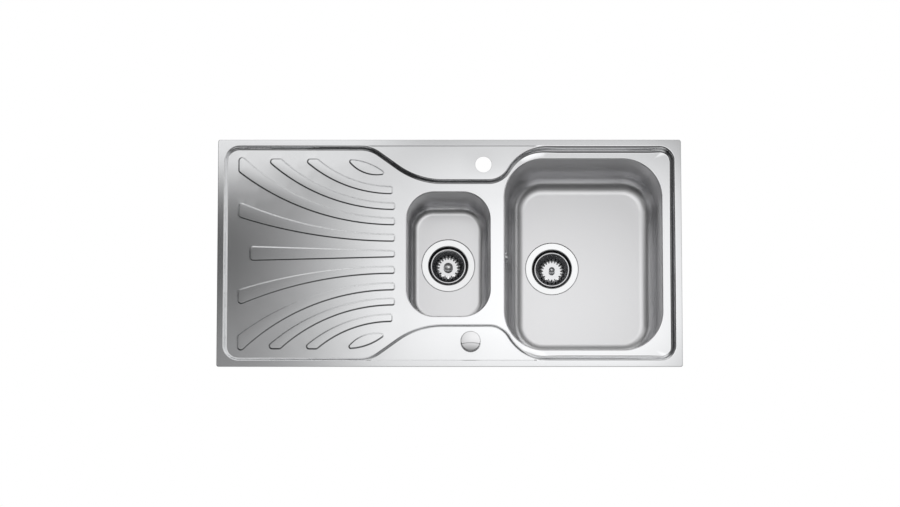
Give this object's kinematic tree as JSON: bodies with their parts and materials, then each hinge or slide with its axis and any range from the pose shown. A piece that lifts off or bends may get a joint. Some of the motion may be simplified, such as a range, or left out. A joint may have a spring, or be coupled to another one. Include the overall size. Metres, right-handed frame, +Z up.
{
  "type": "kitchen sink",
  "caption": "Inset stainless-steel kitchen sink with a ribbed drainer, half bowl, main bowl, strainer wastes, overflow and pop-up control.",
  "frame": {"origin": "middle of the sink in plan, at the worktop's top surface, which is the underside of the rim gasket", "axes": "+X to the right along the sink's length, towards the main bowl; +Y to the back, where the tap hole is; +Z up"},
  "size_m": [1, 0.5, 0.2677],
  "materials": {
    "deck_steel": "fine satin grain",
    "bowl_steel": "satin, drawn walls",
    "polished_steel": "bright, turned",
    "satin_chrome": "satin",
    "zinc_steel": "zinc plated",
    "cast_zinc": "cast, matt",
    "plated_rod": "drawn rod",
    "rubber": "matt",
    "foam_rubber": "closed-cell foam",
    "waste_plastic": "moulded polypropylene",
    "cable_plastic": "extruded sheath",
    "hose_plastic": "ribbed, semi-matt",
    "bitumen": "bitumen sheet"
  },
  "bodies": {
    "sink": {"deck": "deck_steel", "main_bowl": "bowl_steel", "half_bowl": "bowl_steel", "rim_gasket": "foam_rubber", "clip_rails": "zinc_steel", "clip_brackets": "zinc_steel", "clip_screws": "zinc_steel", "main_flange": "polished_steel", "main_upper_seal": "rubber", "main_lower_seal": "rubber", "main_waste_body": "waste_plastic", "main_center_screw": "polished_steel", "half_flange": "polished_steel", "half_upper_seal": "rubber", "half_lower_seal": "rubber", "half_waste_body": "waste_plastic", "half_center_screw": "polished_steel", "lever_nut": "waste_plastic", "cable_anchor": "zinc_steel", "cable_sheath": "cable_plastic", "knob_housing": "satin_chrome", "knob_washer": "rubber", "knob_nut": "waste_plastic", "knob_cage": "waste_plastic", "overflow_rosette": "polished_steel", "overflow_screw": "polished_steel", "overflow_seal": "rubber", "overflow_elbow": "waste_plastic", "overflow_hose": "hose_plastic", "hose_clips": "zinc_steel", "main_sound_pad": "bitumen", "half_sound_pads": "bitumen", "earth_tag": "zinc_steel"},
    "control": {"control_knob": "satin_chrome", "knob_spindle": "plated_rod", "cable_drum": "waste_plastic"},
    "lever": {"lift_lever": "plated_rod"},
    "pin": {"lift_pin": "plated_rod"},
    "main_strainer": {"main_basket": "polished_steel", "main_basket_seal": "rubber", "main_basket_knob": "polished_steel"},
    "half_strainer": {"half_basket": "polished_steel", "half_basket_seal": "rubber", "half_basket_knob": "polished_steel"},
    "jaw_1": {"clip_jaw_1": "cast_zinc"},
    "jaw_2": {"clip_jaw_2": "cast_zinc"},
    "jaw_3": {"clip_jaw_3": "cast_zinc"},
    "jaw_4": {"clip_jaw_4": "cast_zinc"},
    "jaw_5": {"clip_jaw_5": "cast_zinc"},
    "jaw_6": {"clip_jaw_6": "cast_zinc"},
    "jaw_7": {"clip_jaw_7": "cast_zinc"},
    "jaw_8": {"clip_jaw_8": "cast_zinc"}
  },
  "joints": [
    {"name": "knob_turn", "type": "hinge", "parent": "sink", "child": "control", "pos_m": [0.045, -0.195, 0.002], "axis": [0, 0, 1], "range_deg": [0, 90]},
    {"name": "lever_tilt", "type": "hinge", "parent": "sink", "child": "lever", "pos_m": [0.223, -0.06, -0.2159], "axis": [1, 0, 0], "range_deg": [0, 7.5]},
    {"name": "pin_lift", "type": "slide", "parent": "sink", "child": "pin", "axis": [0, 0, 1], "range_m": [0, 0.008]},
    {"name": "main_basket_lift", "type": "slide", "parent": "pin", "child": "main_strainer", "axis": [0, 0, 1], "range_m": [0, 0.06]},
    {"name": "half_basket_lift", "type": "slide", "parent": "sink", "child": "half_strainer", "axis": [0, 0, 1], "range_m": [0, 0.06]},
    {"name": "jaw_swing_1", "type": "hinge", "parent": "sink", "child": "jaw_1", "pos_m": [-0.34, 0.223, -0.0455], "axis": [0, 0, 1], "range_deg": [0, 90]},
    {"name": "jaw_swing_2", "type": "hinge", "parent": "sink", "child": "jaw_2", "pos_m": [-0.04, 0.223, -0.0455], "axis": [0, 0, 1], "range_deg": [0, 90]},
    {"name": "jaw_swing_3", "type": "hinge", "parent": "sink", "child": "jaw_3", "pos_m": [0.33, 0.223, -0.0455], "axis": [0, 0, 1], "range_deg": [0, 90]},
    {"name": "jaw_swing_4", "type": "hinge", "parent": "sink", "child": "jaw_4", "pos_m": [0.473, 0, -0.0455], "axis": [0, 0, 1], "range_deg": [0, 90]},
    {"name": "jaw_swing_5", "type": "hinge", "parent": "sink", "child": "jaw_5", "pos_m": [0.33, -0.223, -0.0455], "axis": [0, 0, 1], "range_deg": [0, 90]},
    {"name": "jaw_swing_6", "type": "hinge", "parent": "sink", "child": "jaw_6", "pos_m": [0, -0.223, -0.0455], "axis": [0, 0, 1], "range_deg": [0, 90]},
    {"name": "jaw_swing_7", "type": "hinge", "parent": "sink", "child": "jaw_7", "pos_m": [-0.34, -0.223, -0.0455], "axis": [0, 0, 1], "range_deg": [0, 90]},
    {"name": "jaw_swing_8", "type": "hinge", "parent": "sink", "child": "jaw_8", "pos_m": [-0.473, 0, -0.0455], "axis": [0, 0, 1], "range_deg": [0, 90]}
  ],
  "couplings": [
    {"joint": "lever_tilt", "follows": "knob_turn", "ratio": 0.083333},
    {"joint": "pin_lift", "follows": "knob_turn", "m_per_rad": 0.00509}
  ]
}
